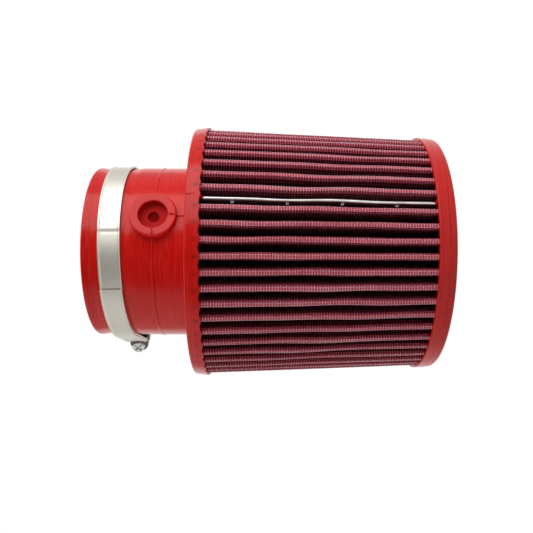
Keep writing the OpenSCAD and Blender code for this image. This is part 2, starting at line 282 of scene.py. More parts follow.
def grid(points, close_u=False, close_v=False):
    """Quads over an (m, n) grid of points."""
    m, n = points.shape[:2]
    u = np.arange(m if close_u else m - 1)
    v = np.arange(n if close_v else n - 1)
    u, v = [w.ravel() for w in np.meshgrid(u, v, indexing="ij")]
    u1, v1 = (u + 1) % m, (v + 1) % n
    faces = np.stack([u * n + v, u1 * n + v, u1 * n + v1, u * n + v1], axis=1)
    return points.reshape(-1, 3), faces


def wall(rings):
    """Grid over stacked rings, closed at both ends between each ring's two halves."""
    points, faces = grid(rings, close_v=True)
    levels, n = rings.shape[:2]
    i = np.arange(n // 2 - 1)
    low = np.stack([i, i + 1, n - 2 - i, n - 1 - i], axis=1)
    high = low[:, ::-1] + (levels - 1) * n
    return points, np.concatenate([faces, low, high])


def revolve(profile, turns=424):
    """Closed ring: a closed (radius, height) profile run round the axis."""
    t = 2 * math.pi * np.arange(turns) / turns
    r, z = profile[:, 0], profile[:, 1]
    return np.stack(
        [np.outer(np.cos(t), r), np.outer(np.sin(t), r), np.tile(z, (turns, 1))], axis=2
    )


def tubes(path, side, up, radius, sides=3):
    """Round wires along many paths at once: path, side and up are (wires, points, 3)."""
    m, n = path.shape[:2]
    a = 2 * math.pi * np.arange(sides) / sides
    ring = np.cos(a)[:, None] * side[:, :, None] + np.sin(a)[:, None] * up[:, :, None]
    points = path[:, :, None] + radius * ring
    i, j, k = [
        w.ravel()
        for w in np.meshgrid(np.arange(m), np.arange(n - 1), np.arange(sides), indexing="ij")
    ]
    k1 = (k + 1) % sides
    at = (i * n + j) * sides
    faces = np.stack([at + k, at + k1, at + sides + k1, at + sides + k], axis=1)
    return points.reshape(-1, 3), faces


def turned(points, turn):
    """Points drawn with -Y as their front, turned towards +X by turn degrees."""
    a = math.radians(turn)
    out = np.array(points, float)
    out[..., 0] = points[..., 0] * math.cos(a) - points[..., 1] * math.sin(a)
    out[..., 1] = points[..., 0] * math.sin(a) + points[..., 1] * math.cos(a)
    return out


def finish_solid(obj, merge=0.002, sharp=35):
    """Joins doubled points, turns the faces outward and keeps real edges crisp."""
    work = bmesh.new()
    work.from_mesh(obj.data)
    bmesh.ops.remove_doubles(work, verts=work.verts, dist=merge * MM)
    bmesh.ops.recalc_face_normals(work, faces=work.faces)
    work.to_mesh(obj.data)
    work.free()
    obj.data.set_sharp_from_angle(angle=math.radians(sharp))


def cut(obj, tool, operation):
    """Joins tool to obj, or takes it away, and removes the tool."""
    step = obj.modifiers.new(operation, "BOOLEAN")
    step.object = tool
    step.operation = operation
    step.solver = "EXACT"
    bpy.context.view_layer.objects.active = obj
    with bpy.context.temp_override(object=obj, active_object=obj, selected_objects=[obj]):
        bpy.ops.object.modifier_apply(modifier=step.name)
    bpy.data.objects.remove(tool)


# Materials


class Nodes:
    """A node tree, with a short call for each node."""

    def __init__(self, tree):
        self.tree = tree

    def add(self, kind, **values):
        node = self.tree.nodes.new(kind)
        for name, value in values.items():
            setattr(node, name, value)
        return node

    def link(self, out, into):
        self.tree.links.new(out, into)

    def math(self, operation, a, b=None):
        node = self.add("ShaderNodeMath", operation=operation)
        for i, value in enumerate((a, b)):
            if value is None:
                continue
            if isinstance(value, (int, float)):
                node.inputs[i].default_value = value
            else:
                self.link(value, node.inputs[i])
        return node.outputs[0]

    def times(self, a, b):
        return self.math("MULTIPLY", a, b)

    def parts(self, vector):
        """X, Y and Z of a vector."""
        node = self.add("ShaderNodeSeparateXYZ")
        self.link(vector, node.inputs[0])
        return node.outputs

    def length(self, a, b):
        """Length of a step of a and one of b at right angles."""
        squares = [self.times(side, side) for side in (a, b)]
        return self.math("SQRT", self.math("ADD", *squares))

    def ramp(self, value, *stops):
        """Colours or greys at places along a value from 0 to 1."""
        node = self.add("ShaderNodeValToRGB")
        items = node.color_ramp.elements
        while len(items) < len(stops):
            items.new(0.5)
        for item, (at, color) in zip(items, stops):
            item.position = at
            item.color = (*color, 1) if isinstance(color, tuple) else (color, color, color, 1)
        self.link(value, node.inputs["Fac"])
        return node.outputs["Color"]

    def mirrored(self):
        """1 for rays that a shiny or clear surface sends on, 0 for others."""
        seen = self.add("ShaderNodeLightPath").outputs
        return self.math("MAXIMUM", seen["Is Glossy Ray"], seen["Is Transmission Ray"])


class Shader(Nodes):
    """A material's nodes, with patterns that stay on the object."""

    def __init__(self, name, color, roughness, metallic=0.0, specular=0.5):
        self.material = bpy.data.materials.new(name)
        self.material.use_nodes = True
        super().__init__(self.material.node_tree)
        self.surface = self.tree.nodes["Principled BSDF"]
        values = {"Base Color": (*color, 1), "Roughness": roughness, "Metallic": metallic,
                  "Specular IOR Level": specular}
        for socket, value in values.items():
            self.surface.inputs[socket].default_value = value
        place = self.add("ShaderNodeTexCoord")
        self.place = place.outputs["Object"]
        self.uv = place.outputs["UV"]
        self.material.diffuse_color = (*color, 1)

    def noise(self, scale, detail=3.0, rough=0.55, place=None, stretch=(1, 1, 1)):
        fit = self.add("ShaderNodeMapping")
        fit.inputs["Scale"].default_value = stretch
        self.link(place or self.place, fit.inputs["Vector"])
        node = self.add("ShaderNodeTexNoise")
        node.inputs["Scale"].default_value = scale
        node.inputs["Detail"].default_value = detail
        node.inputs["Roughness"].default_value = rough
        self.link(fit.outputs["Vector"], node.inputs["Vector"])
        return node.outputs["Fac"]

    def mix(self, share, a, b, blend="MIX"):
        node = self.add("ShaderNodeMix", data_type="RGBA", blend_type=blend)
        sockets = [node.inputs[0], node.inputs[6], node.inputs[7]]
        for socket, value in zip(sockets, (share, a, b)):
            if isinstance(value, tuple):
                socket.default_value = (*value, 1)
            elif isinstance(value, (int, float)):
                socket.default_value = value
            else:
                self.link(value, socket)
        return node.outputs[2]

    def color(self, value):
        self.link(value, self.surface.inputs["Base Color"])

    def rough(self, value, low, high):
        node = self.add("ShaderNodeMapRange")
        self.link(value, node.inputs["Value"])
        node.inputs["To Min"].default_value = low
        node.inputs["To Max"].default_value = high
        self.link(node.outputs["Result"], self.surface.inputs["Roughness"])

    def bump(self, height, strength, distance):
        node = self.add("ShaderNodeBump")
        node.inputs["Strength"].default_value = strength
        node.inputs["Distance"].default_value = distance
        self.link(height, node.inputs["Height"])
        self.link(node.outputs["Normal"], self.surface.inputs["Normal"])

    def below_ridges(self, *stops):
        """Ramp over the depth below the pack's ridges, with stops in millimetres."""
        x, y, z = self.parts(self.place)
        tip = (RIDGE_R_CAP - TAPER * CAP_H) * MM
        cone = self.math("ADD", self.times(z, TAPER), tip)
        below = self.math("SUBTRACT", cone, self.length(x, y))
        depth = self.math("DIVIDE", below, RAMP_SPAN * MM)
        shifted = self.math("ADD", depth, RAMP_LEAD / RAMP_SPAN)
        return self.ramp(shifted, *[((at + RAMP_LEAD) / RAMP_SPAN, color) for at, color in stops])

    def beside_pack(self):
        """1 on the rubber that faces the pack, between the pleats, 0 elsewhere."""
        z = self.parts(self.place)[2]
        low, high = CAP_H - 0.7, FLANGE_Z + SCALLOP + 0.3
        over = self.math("GREATER_THAN", z, low * MM)
        under = self.math("LESS_THAN", z, high * MM)
        inside = self.below_ridges((0.1, 0.0), (1.4, 1.0))
        return self.times(self.times(over, under), inside)

    def in_recess(self):
        """1 inside the boss's recess and hole, 0 elsewhere."""
        x, y, z = self.parts(self.place)
        turn = math.radians(PORT_TURN)
        sin, cos = math.sin(turn), math.cos(turn)
        out = self.math("SUBTRACT", self.times(x, sin), self.times(y, cos))
        across = self.math("ADD", self.times(x, cos), self.times(y, sin))
        off = self.length(across, self.math("SUBTRACT", z, PORT_Z * MM))
        near = self.math("LESS_THAN", off, (RECESS_R + 0.1) * MM)
        sunk = self.math("DIVIDE", self.math("SUBTRACT", BOSS_FACE * MM, out), RECESS_DEPTH * MM)
        sunk = self.times(sunk, self.math("GREATER_THAN", out, 0.0))
        return self.times(near, self.ramp(sunk, (0.15, 0.0), (0.8, 0.75)))

    def pleat_tips(self):
        """1 on the flange where a pleat ends below the rubber, 0 elsewhere."""
        x, y, z = self.parts(self.place)
        turn = self.math("ARCTAN2", x, self.times(y, -1.0))
        off = self.math("ABSOLUTE", self.math("SUBTRACT", turn, math.radians(SEAM_TURN)))
        phase = self.math("DIVIDE", self.math("SUBTRACT", off, GAP / 2), STEP)
        wave = self.math("COSINE", self.times(phase, 2 * math.pi))
        high = self.math("SUBTRACT", z, (FLANGE_Z + TIP_Z) * MM)
        near = self.math("ABSOLUTE", self.math("DIVIDE", high, TIP_REACH * MM))
        tip = self.ramp(wave, (0.35, 0.0), (0.95, 1.0))
        return self.times(tip, self.ramp(near, (0.15, 1.0), (1.0, 0.0)))

    def round_axis(self):
        """Vector (arc, height, radius) of the place round the filter's axis, in metres."""
        x, y, z = self.parts(self.place)
        arc = self.times(self.math("ARCTAN2", x, y), ARC_R)
        vector = self.add("ShaderNodeCombineXYZ")
        for out, socket in zip((arc, z, self.length(x, y)), vector.inputs):
            self.link(out, socket)
        return vector.outputs[0]


def soft_red():
    """Cast polyurethane: cloudy red, fine rings left by the mould, satin shine."""
    s = Shader("soft_red", (0.65, 0.007, 0.007), 0.2, specular=0.27)
    clouds = s.noise(34, 4)
    fine = s.noise(420, 3)
    ring = s.round_axis()
    lines = s.noise(900, 2, place=ring, stretch=(0.05, 1, 1))
    base = s.ramp(clouds, (0.3, (0.6, 0.006, 0.004)), (0.55, (0.65, 0.009, 0.006)),
                  (0.75, (0.68, 0.014, 0.009)))
    pale = s.mix(s.ramp(lines, (0.48, 0.0), (0.75, 0.2)), base, (0.78, 0.09, 0.08))
    spot = s.times(s.pleat_tips(), s.ramp(s.noise(160, 3), (0.35, 0.25), (0.6, 0.75)))
    # Painted shade inside the boss's recess and hole: darker red there, and rougher
    recess = s.in_recess()
    shaded = s.mix(recess, pale, (0.42, 0.001, 0.001))
    spotted = s.mix(spot, shaded, (0.2, 0.012, 0.01))
    # Painted shade, near black, on the rubber that faces the pack between the pleats
    s.color(s.mix(s.beside_pack(), spotted, (0.05, 0.002, 0.002)))
    gloss = s.times(s.mix(0.7, fine, lines), 0.26)
    s.rough(s.math("ADD", gloss, recess), 0.09, 0.9)
    height = s.math("ADD", s.times(lines, 0.6), s.times(clouds, 0.8))
    s.bump(height, 0.3, 0.0003)
    return s.material


def gauze():
    """Oiled cotton, deep red and finely woven, with a painted highlight on the ridges and painted
    shade in the folds.
    """
    s = Shader("gauze", (0.3, 0.02, 0.045), 0.6, specular=0.3)
    across, along, _ = s.parts(s.uv)
    rows = s.math("SINE", s.times(across, 2 * math.pi / WEAVE_PITCH))
    columns = s.math("SINE", s.times(along, 2 * math.pi / WEAVE_PITCH))
    weave = s.times(rows, columns)
    oil = s.noise(60, 4)
    # Painted highlight at the ridges' tops, and painted shade that darkens deeper in the folds
    depth = s.below_ridges((0.3, (0.75, 0.07, 0.12)), (1.0, (0.36, 0.022, 0.045)),
                           (3, (0.12, 0.008, 0.016)), (9, (0.04, 0.003, 0.006)))
    deep = s.mix(s.ramp(oil, (0.3, 0.0), (0.7, 0.35)), depth, (0.5, 0.3, 0.35), "MULTIPLY")
    s.color(s.mix(s.ramp(weave, (0.2, 0.0), (1.0, 0.3)), deep, (1.5, 1.6, 1.6), "MULTIPLY"))
    s.surface.inputs["Sheen Weight"].default_value = 0.15
    s.bump(weave, 0.6, 0.0001)
    return s.material


def wire(name, share):
    """Aluminium wire with a film of red oil, a painted highlight on the ridges and painted shade
    in the folds.
    """
    s = Shader(name, (0.6, 0.16, 0.22), 0.42, metallic=0.5, specular=0.4)

    def shade(*color):
        return tuple(share * v for v in color)

    film = s.noise(180, 3)
    # Painted highlight, whitish pink, on the ridges' tops and painted shade deeper in the folds
    depth = s.below_ridges((-0.1, shade(1.0, 0.66, 0.72)), (0.35, shade(1.0, 0.4, 0.48)),
                           (1.1, shade(0.8, 0.15, 0.22)), (3, shade(0.4, 0.06, 0.09)),
                           (8, shade(0.2, 0.03, 0.045)))
    s.color(s.mix(s.ramp(film, (0.4, 0.0), (0.75, 0.4)), depth, (0.6, 0.3, 0.35), "MULTIPLY"))
    s.rough(film, 0.4, 0.26)
    s.bump(s.noise(2600, 2), 0.2, 0.00005)
    return s.material


def band_steel():
    """Steel band, finely brushed along its length."""
    s = Shader("band_steel", (0.74, 0.71, 0.63), 0.4, metallic=1.0)
    ring = s.round_axis()
    brushed = s.noise(5200, 3, place=ring, stretch=(0.02, 1, 0))
    smudges = s.noise(90, 4)
    touched = s.ramp(smudges, (0.4, 0.0), (0.75, 0.25))
    s.color(s.mix(touched, (0.76, 0.73, 0.65), (0.64, 0.61, 0.54)))
    s.rough(brushed, 0.44, 0.56)
    s.bump(brushed, 0.1, 0.00001)
    return s.material


def plated_steel(name, low, high):
    """Plated steel between two greys: made dark as painted shade on the housing, bright on the
    screw.
    """
    s = Shader(name, (high, high, 0.97 * high), 0.26, metallic=0.9)
    tone_and_shade = s.noise(700, 4)
    s.color(s.ramp(tone_and_shade, (0.3, (low, low, 0.97 * low)), (0.7, (high, high, 0.97 * high))))
    s.rough(tone_and_shade, 0.2, 0.38)
    s.bump(s.noise(1800, 2), 0.1, 0.00004)
    return s.material


def bright_wire():
    """Zinc-coated wire of the staples."""
    s = Shader("staple_wire", (0.85, 0.85, 0.84), 0.35, metallic=0.5)
    coat = s.noise(900, 3)
    s.color(s.ramp(coat, (0.35, (0.85, 0.85, 0.84)), (0.65, (0.98, 0.98, 0.97))))
    s.rough(coat, 0.4, 0.6)
    s.bump(coat, 0.2, 0.00004)
    return s.material


def strip_metal():
    """Rolled aluminium of the seam strip."""
    s = Shader("strip_metal", (0.7, 0.7, 0.69), 0.38, metallic=1.0)
    drawn = s.noise(2400, 3, stretch=(1, 1, 0.03))
    s.rough(drawn, 0.32, 0.46)
    s.color(s.ramp(s.noise(160, 3), (0.35, (0.6, 0.59, 0.58)), (0.7, (0.76, 0.76, 0.75))))
    s.bump(drawn, 0.15, 0.00005)
    return s.material


RED = soft_red()
GAUZE = gauze()
HOOP_WIRE = wire("hoop_wire", 1.0)
# The wires along the pack and the inner wires are the same wire at 0.6 of its brightness: painted
# shade
LONG_WIRE = wire("long_wire", 0.6)
BAND = band_steel()
# Steel made dark for painted shade on the housing, the saddle and the band's underside
SHADE_DARK_STEEL = plated_steel("shade_dark_steel", 0.1, 0.2)
BRIGHT_STEEL = plated_steel("bright_steel", 0.62, 0.85)
STRIP = strip_metal()
STAPLE = bright_wire()


def dress(obj, material):
    """Gives a piece its material."""
    obj.data.materials.clear()
    obj.data.materials.append(material)


# Pleated pack: the same outline as the solids, worked out again for finer meshes

RIDGE_C = RIDGE_R - RIDGE_ROUND
VALLEY_C = FOLD_R + PACK_T + VALLEY_ROUND
FIN_ROOT = STRIP_R - STRIP_DEPTH
FIN_END = STRIP_R - STRIP_HALF


def pack_scale(z):
    """Size of the pack at height z, as a share of its size at the flange's lip."""
    return (RIDGE_R_CAP + TAPER * (z - CAP_H)) / RIDGE_R


def ridge_a(i):
    return SEAM_A + GAP / 2 + i * STEP


def valley_a(i):
    if i == 0:
        return SEAM_A + GAP / 4
    return SEAM_A - GAP / 4 + 2 * math.pi if i == PLEATS else ridge_a(i - 0.5)


def fin_half(depth):
    """Half width of the pack's face at a depth, where both ends are squeezed together."""
    return max(LAYER_GAP / 2, LAYER_GAP + (PACK_T - depth) * SQUEEZE)


def leg_normal(p, a, q, b, side, near):
    """Direction of a leg's outward normal, between a ridge round p and a valley round q."""
    way = q - p
    turn = math.atan2(way[1], way[0]) - side * math.acos((a + b) / np.linalg.norm(way))
    return turn - 2 * math.pi * round((turn - near) / (2 * math.pi))


def ridge_leg(i, side):
    valley = polar(VALLEY_C, valley_a(i + 1 if side > 0 else i))
    ridge = polar(RIDGE_C, ridge_a(i))
    return leg_normal(ridge, RIDGE_ROUND, valley, VALLEY_ROUND, side, ridge_a(i))


def fin_leg(depth, side):
    valley = polar(VALLEY_C, valley_a(0 if side > 0 else PLEATS))
    near = FIN_A + (0 if side > 0 else 2 * math.pi)
    return leg_normal(
        polar(FIN_ROOT, FIN_A), fin_half(depth), valley, VALLEY_ROUND + depth, side, near
    )


def fin_side(depth, side, r):
    return polar(r, FIN_A) + polar(fin_half(depth), FIN_A + side * math.pi / 2)


def pleat_path(depth, ridge_n, valley_n, leg_n):
    """Points of the pack's face at a depth below its outside, and their outward normals.

    Each ridge, leg and valley gets the same number of steps in every pleat."""
    points, normals = [], []

    def add(p, n):
        points.append(p)
        normals.append(n)

    def add_arc(c, r, a, b, steps, hollow):
        for k in range(steps + 1):
            t = a + (b - a) * k / steps
            add(c + polar(-r if hollow else r, t), polar(1, t))

    def add_leg(p, n, q, m, steps):
        for k in range(1, steps):
            add(p + (q - p) * k / steps, n + (m - n) * k / steps)

    valley_r, ridge_r = VALLEY_ROUND + depth, RIDGE_ROUND - depth
    for r in (FIN_END, FIN_ROOT):
        add(fin_side(depth, 1, r), polar(1, FIN_A + math.pi / 2))
    add_arc(polar(VALLEY_C, valley_a(0)), valley_r, fin_leg(depth, 1), ridge_leg(0, -1),
            valley_n, True)
    for i in range(PLEATS):
        ridge = polar(RIDGE_C, ridge_a(i))
        a, b = ridge_leg(i, -1), ridge_leg(i, 1)
        p, n = points[-1], normals[-1]
        add_leg(p, n, ridge + polar(ridge_r, a), polar(1, a), leg_n)
        add_arc(ridge, ridge_r, a, b, ridge_n, False)
        last = i == PLEATS - 1
        c = ridge_leg(i + 1, -1) if not last else fin_leg(depth, -1)
        valley = polar(VALLEY_C, valley_a(i + 1))
        p, n = points[-1], normals[-1]
        add_leg(p, n, valley - polar(valley_r, b), polar(1, b), leg_n)
        add_arc(valley, valley_r, b, c, valley_n, True)
    for r in (FIN_ROOT, FIN_END):
        add(fin_side(depth, -1, r), polar(1, FIN_A - math.pi / 2))
    normals = np.array(normals)
    return np.array(points), normals / np.linalg.norm(normals, axis=1)[:, None]


# Waves round the pack, waves along it, and phase of each swing that the pleats make
WAVES = [(5, 1.0, 0.3), (9, 1.7, 2.1), (14, 2.6, 4.4), (23, 1.3, 5.9)]


def warp(points):
    """Slight waviness of the pleats between the two mouldings, the same in every layer."""
    x, y, z = points[..., 0], points[..., 1], points[..., 2]
    r, a = np.hypot(x, y), np.arctan2(y, x)
    span = np.clip((z - CAP_H) / (FLANGE_Z - CAP_H), 0, 1)
    reach = np.sin(np.pi * span)
    sway = np.zeros_like(a)
    swell = np.zeros_like(a)
    for count, waves, phase in WAVES:
        sway += np.sin(count * a + phase + waves * 2 * np.pi * span)
        swell += np.sin((count + 1) * a - phase + waves * 3 * span)
    a = a + np.radians(SWAY) * sway * reach
    share = np.clip((r - FOLD_R) / (RIDGE_R - FOLD_R), 0, 1)
    r = r + SWELL * swell * reach * share
    return np.stack([r * np.cos(a), r * np.sin(a), z], axis=-1)


def stacked(outline, heights):
    """Outlines at each height, brought from the flange's size to the pack's size there."""
    k = pack_scale(np.asarray(heights))
    flat = outline * k[:, None, None]
    z = np.broadcast_to(np.asarray(heights, float)[:, None, None], flat.shape[:2] + (1,))
    return np.concatenate([flat, z], axis=2)


def add_gauze():
    """The cotton's layers as one folded sheet with a thickness, and its flat size."""
    outer, inner = [pleat_path(depth, 7, 5, 4)[0] for depth in (GAUZE_OUT, GAUZE_IN)]
    heights = np.linspace(PACK_Z, PACK_TOP, 15)
    sides = [warp(stacked(outline, heights)) for outline in (outer, inner)]
    ring = np.concatenate([sides[0], sides[1][:, ::-1]], axis=1)
    obj = add_mesh("pleated_gauze", [wall(ring)])
    run = np.concatenate([[0], np.cumsum(np.linalg.norm(np.diff(outer, axis=0), axis=1))])
    across = np.tile(np.concatenate([run, run[::-1]]), len(heights))
    along = np.repeat(heights, ring.shape[1])
    uv = np.stack([across, along], axis=1)
    layer = obj.data.uv_layers.new(name="cloth")
    index = np.zeros(len(obj.data.loops), np.int32)
    obj.data.loops.foreach_get("vertex_index", index)
    layer.data.foreach_set("uv", uv[index].ravel())
    finish_solid(obj, sharp=70)
    dress(obj, GAUZE)
    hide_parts("cotton_gauze")


def by_turns(count, start=0):
    """1 and -1 by turns, from -1 on if start is odd."""
    return 1 - 2 * ((np.arange(count) + start) % 2)


def over_under(legs):
    """Heights of a hoop above its middle line: over and under the wires of each ridge."""
    arc = 2 * (RIDGE_WIRES - 1)
    valley = VALLEY_STEPS + 1
    per_pleat = arc + 1 + valley + 2 * (legs - 1)
    first = FIN_POINTS + valley + legs - 1 + per_pleat * np.arange(PLEATS)
    wave = np.zeros(FIN_POINTS + valley + per_pleat * PLEATS + FIN_POINTS)
    for i, at in enumerate(first):
        wave[at:at + arc + 1:2] = CRIMP * by_turns(RIDGE_WIRES, i * (RIDGE_WIRES % 2))
        wave[at - 1] = wave[at] * -CRIMP_END
        wave[at + arc + 1] = wave[at + arc] * -CRIMP_END
    return wave, first


def flat_normals(normal):
    return np.concatenate([normal, np.zeros((len(normal), 1))], axis=1)


UP = np.array([0.0, 0.0, 1.0])


def hoop_wires(path, normal, heights, wave, radius):
    """Wires that run round the pack and follow every fold, one at each height."""
    side = np.broadcast_to(flat_normals(normal), (len(heights), len(path), 3))
    turn = by_turns(len(heights))
    hoops = stacked(path, heights) + side * (wave[None, :, None] * turn[:, None, None])
    return tubes(warp(hoops), side, np.broadcast_to(UP, side.shape), radius)


def long_wires(path, normal, heights, wave, radius):
    """Wires that run along the pack, one through each point of the path."""
    side = np.broadcast_to(flat_normals(normal)[:, None], (len(path), len(heights), 3))
    turn = by_turns(len(heights))
    lines = stacked(path, heights).transpose(1, 0, 2)
    lines = lines - side * (wave[:, None, None] * turn[None, :, None])
    return tubes(warp(lines), side, np.cross(side, UP), radius)


def add_outer_mesh():
    """Woven wire: hoops that follow every fold, and wires along the pack."""
    depth = MESH_T / 2
    arc = 2 * (RIDGE_WIRES - 1)
    heights = np.arange(CAP_H - 1, FLANGE_Z + 1, WIRE_PITCH)
    path, normal = pleat_path(depth, arc, VALLEY_STEPS, 2)
    wave, _ = over_under(2)
    half = len(heights) // 2 // 2 * 2
    for name, rows in (("mesh_hoops_low", heights[:half]), ("mesh_hoops_high", heights[half:])):
        obj = add_mesh(name, [hoop_wires(path, normal, rows, wave, WIRE_R)])
        dress(obj, HOOP_WIRE)
        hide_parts("outer_mesh")
    # Wires over the ridges are bent at every hoop; those on the legs hardly show it
    path, normal = pleat_path(depth, arc, VALLEY_STEPS, LEG_WIRES + 1)
    wave, first = over_under(LEG_WIRES + 1)
    over = (first[:, None] + 2 * np.arange(RIDGE_WIRES)).ravel()
    before = (first[:, None] - 1 - np.arange(LEG_WIRES)).ravel()
    after = (first[:, None] + arc + 1 + np.arange(LEG_WIRES)).ravel()
    legs = np.concatenate([before, after])
    few = np.linspace(heights[0], heights[-1], 9)
    for name, rows, places, bent in (("mesh_ridge_wires", over, heights, wave[over]),
                                     ("mesh_leg_wires", legs, few, np.zeros(len(legs)))):
        obj = add_mesh(name, [long_wires(path[rows], normal[rows], places, bent, WIRE_R)])
        dress(obj, LONG_WIRE)
        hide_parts("outer_mesh")


def add_inner_mesh():
    """The mesh inside the gauze, coarser than it is really, and hardly seen."""
    depth = PACK_T - MESH_T / 2
    path, normal = pleat_path(depth, 2, 4, 1)
    heights = np.arange(CAP_H - 1, FLANGE_Z + 1, INNER_PITCH)
    parts = [hoop_wires(path, normal, heights, np.zeros(len(path)), INNER_WIRE_R)]
    path, normal = pleat_path(depth, 2, 4, 4)
    few = np.linspace(heights[0], heights[-1], 7)
    parts.append(long_wires(path, normal, few, np.zeros(len(path)), INNER_WIRE_R))
    obj = add_mesh("inner_wires", parts)
    dress(obj, LONG_WIRE)
    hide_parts("inner_mesh")


def staple_heights():
    return np.linspace(CAP_H + STAPLE_LOW, FLANGE_Z - STAPLE_HIGH, STAPLES)


def pinch(z):
    """How much of its width the seam strip keeps at height z: less beside a staple."""
    keep = np.ones_like(z)
    for at in staple_heights():
        keep = keep - PINCH * np.exp(-((z - at) / PINCH_H) ** 2)
    return keep


def add_seam():
    """Metal strip folded over both ends of the pack, pressed in beside its staples."""
    outside = np.concatenate([
        [[FIN_ROOT, -STRIP_HALF]], bow([FIN_END, 0], STRIP_HALF, -math.pi / 2, math.pi / 2, 14),
        [[FIN_ROOT, STRIP_HALF]],
    ])
    half_in = STRIP_HALF - STRIP_T
    inside = np.concatenate([
        [[FIN_ROOT, half_in]], bow([FIN_END, 0], half_in, math.pi / 2, -math.pi / 2, 14),
        [[FIN_ROOT, -half_in]],
    ])
    outline = np.concatenate([outside, inside])
    heights = np.linspace(PACK_Z, PACK_TOP, 90)
    flat = np.tile(outline, (len(heights), 1, 1))
    inward = np.clip((FIN_END + 1 - flat[..., 0]) / 3, 0, 1)
    flat[..., 1] *= 1 + (pinch(heights)[:, None] - 1) * inward
    flat[..., 0] += STRIP_SWAY * np.sin(heights / 7)[:, None]
    points = turned(stacked(flat, heights), SEAM_TURN - SEAM_LEAN - 90)
    strip = add_mesh("folded_strip", [wall(warp(points))])
    finish_solid(strip, sharp=50)
    dress(strip, STRIP)
    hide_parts("seam_strip")


def add_staples():
    """Fine wire staples: a crown along each flank of the strip, joined through it."""
    parts = []
    reach = FIN_ROOT + STAPLE_EDGE
    for z in staple_heights():
        near = STRIP_HALF * pinch(z) + STAPLE_R * 0.7
        far = STRIP_HALF * pinch(z) + STAPLE_OUT
        half, bend = STAPLE_W / 2, STAPLE_BEND
        loop = rounded([
            (-far, 0, 0), (-far, half, bend), (near, half, bend), (near, -half, bend),
            (-far, -half, bend), (-far, -0.1, 0),
        ], closed=False)
        across, up = loop[:, 0], loop[:, 1]
        k = pack_scale(z)
        line = np.stack([
            k * (reach * math.cos(FIN_A) - across * math.sin(FIN_A)),
            k * (reach * math.sin(FIN_A) + across * math.cos(FIN_A)), z + up,
        ], axis=1)
        parts += bead(warp(line), np.full(len(line), STAPLE_R))
    obj = add_mesh("wire_staples", parts)
    dress(obj, STAPLE)
    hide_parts("seam_staples")


def add_cap():
    """End cap with its shoulder and its lip."""
    side = CAP_R - CAP_LIP
    inner = FOLD_R * pack_scale(PACK_Z) - CAP_COVER
    profile = rounded([
        (0, 0, 0), (side - CAP_RIB, 0, CAP_ROUND), (side - CAP_RIB, CAP_ROUND + 0.2, 0.15),
        (side, CAP_ROUND + 0.6, 0.2), (side, CAP_H - CAP_LIP_H - CAP_LIP, 0.3),
        (CAP_R, CAP_H - CAP_LIP_H, 0.3), (CAP_R, CAP_H, 0.45), (inner, CAP_H, 0.5),
        (inner, CAP_WEB, 0.5), (0, CAP_WEB, 0),
    ], steps=7)
    obj = add_mesh("moulded_cap", [grid(revolve(profile), close_u=True, close_v=True)])
    finish_solid(obj)
    dress(obj, RED)
    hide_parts("end_cap")


def scallops(points):
    """Bulges of rubber at every pleat's tip, along the flange's edge beside the pack."""
    r, a = np.hypot(points[..., 0], points[..., 1]), np.arctan2(points[..., 1], points[..., 0])
    turn = (a - SEAM_A) % (2 * math.pi)
    phase = (turn - GAP / 2) / STEP
    wave = 0.5 + 0.5 * np.cos(2 * np.pi * phase)
    beside = (turn < GAP / 2) | (turn > 2 * math.pi - GAP / 2)
    fin = np.exp(-((np.minimum(turn, 2 * math.pi - turn) * RIDGE_R) / FIN_BULGE) ** 2)
    wave = np.where(beside, fin, wave)
    share = np.clip((r - SCALLOP_IN) / SCALLOP_REACH, 0, 1)
    share = share * np.clip((FLANGE_Z + SCALLOP_H - points[..., 2]) / SCALLOP_H, 0, 1)
    out = points.copy()
    out[..., 2] += SCALLOP * (1 - wave) * share
    return out


